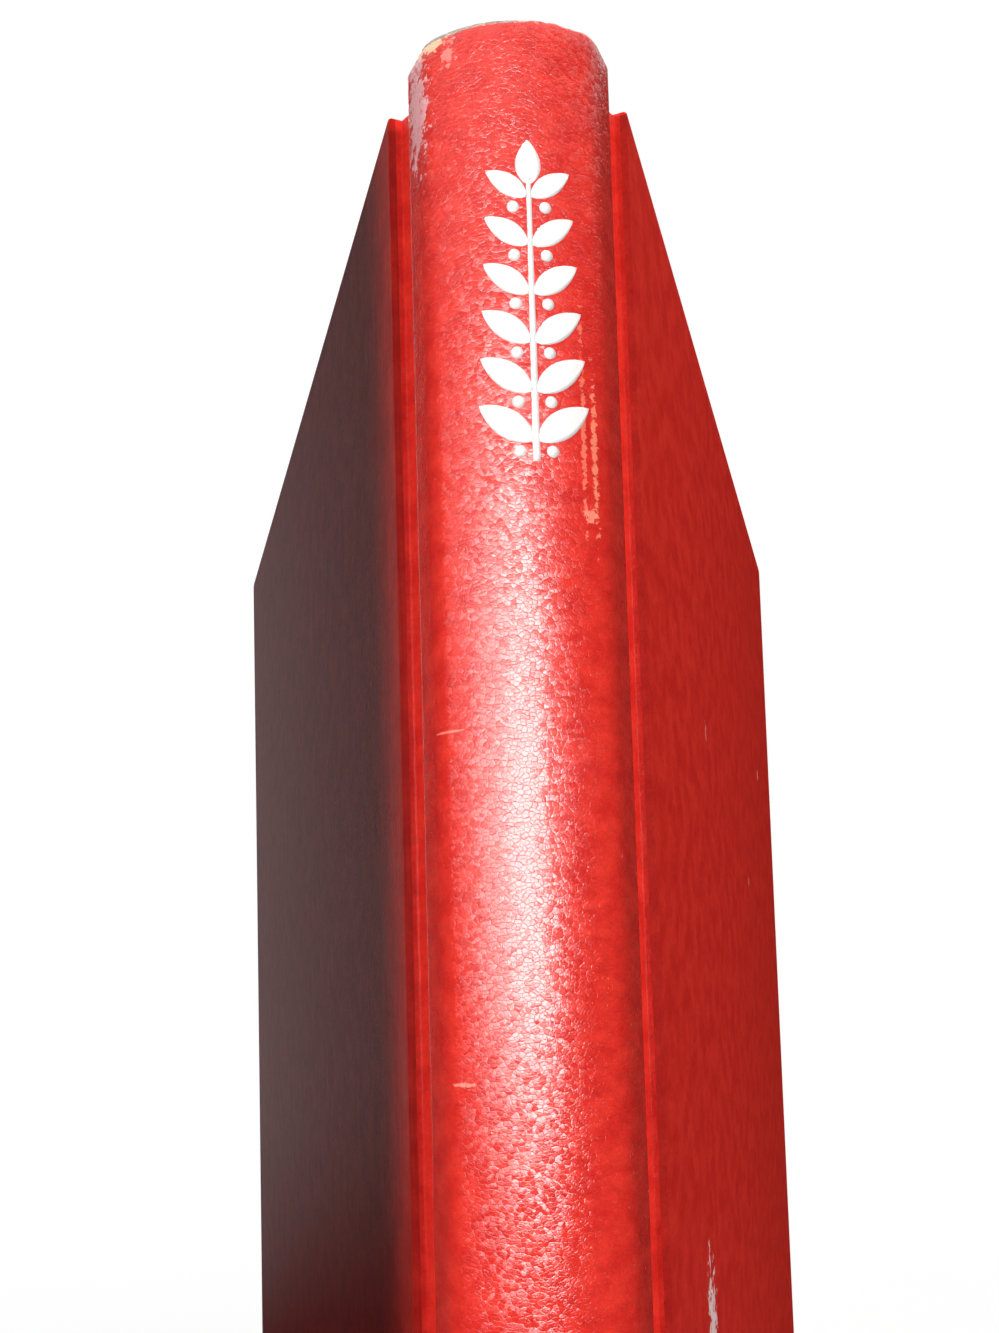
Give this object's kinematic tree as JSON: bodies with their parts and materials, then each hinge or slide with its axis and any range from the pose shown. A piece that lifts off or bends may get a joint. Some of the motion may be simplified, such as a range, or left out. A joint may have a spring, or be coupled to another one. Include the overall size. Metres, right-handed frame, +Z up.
{
  "type": "hardcover cookbook",
  "caption": "Tall hardcover book with a rounded spine, grooved joints and two hinged covers, standing slightly open.",
  "frame": {"origin": "centre of the bounding box's base, on the surface that the book stands on", "axes": "+Z up from tail to head, -Y towards the spine's viewer, +X towards the front cover"},
  "size_m": [0.1736, 0.2228, 0.285],
  "materials": {
    "leather_cloth": "embossed pebble grain, satin",
    "leaves": "cut edges of uncoated leaves",
    "binders_board": "grey board",
    "spine_card": "manila card",
    "gauze": "open starched gauze",
    "kraft_paper": "kraft paper",
    "endpaper": "plain laid endpaper",
    "band_thread": "sewn cotton bead on tape"
  },
  "bodies": {
    "book_block": {"text_block": "leaves", "mull": "gauze", "spine_lining": "kraft_paper", "head_band": "band_thread", "tail_band": "band_thread", "spine_inlay": "spine_card", "spine_covering": "leather_cloth", "front_flyleaf": "endpaper", "back_flyleaf": "endpaper"},
    "front_cover": {"front_board": "binders_board", "front_covering": "leather_cloth", "front_pastedown": "endpaper"},
    "back_cover": {"back_board": "binders_board", "back_covering": "leather_cloth", "back_pastedown": "endpaper"}
  },
  "joints": [
    {"name": "front_hinge", "type": "hinge", "parent": "book_block", "child": "front_cover", "pos_m": [0.0162, -0.0986, 0], "axis": [0, 0, -1], "range_deg": [-19, 161]},
    {"name": "back_hinge", "type": "hinge", "parent": "book_block", "child": "back_cover", "pos_m": [-0.0162, -0.0986, 0], "axis": [0, 0, 1], "range_deg": [-19, 161]}
  ]
}
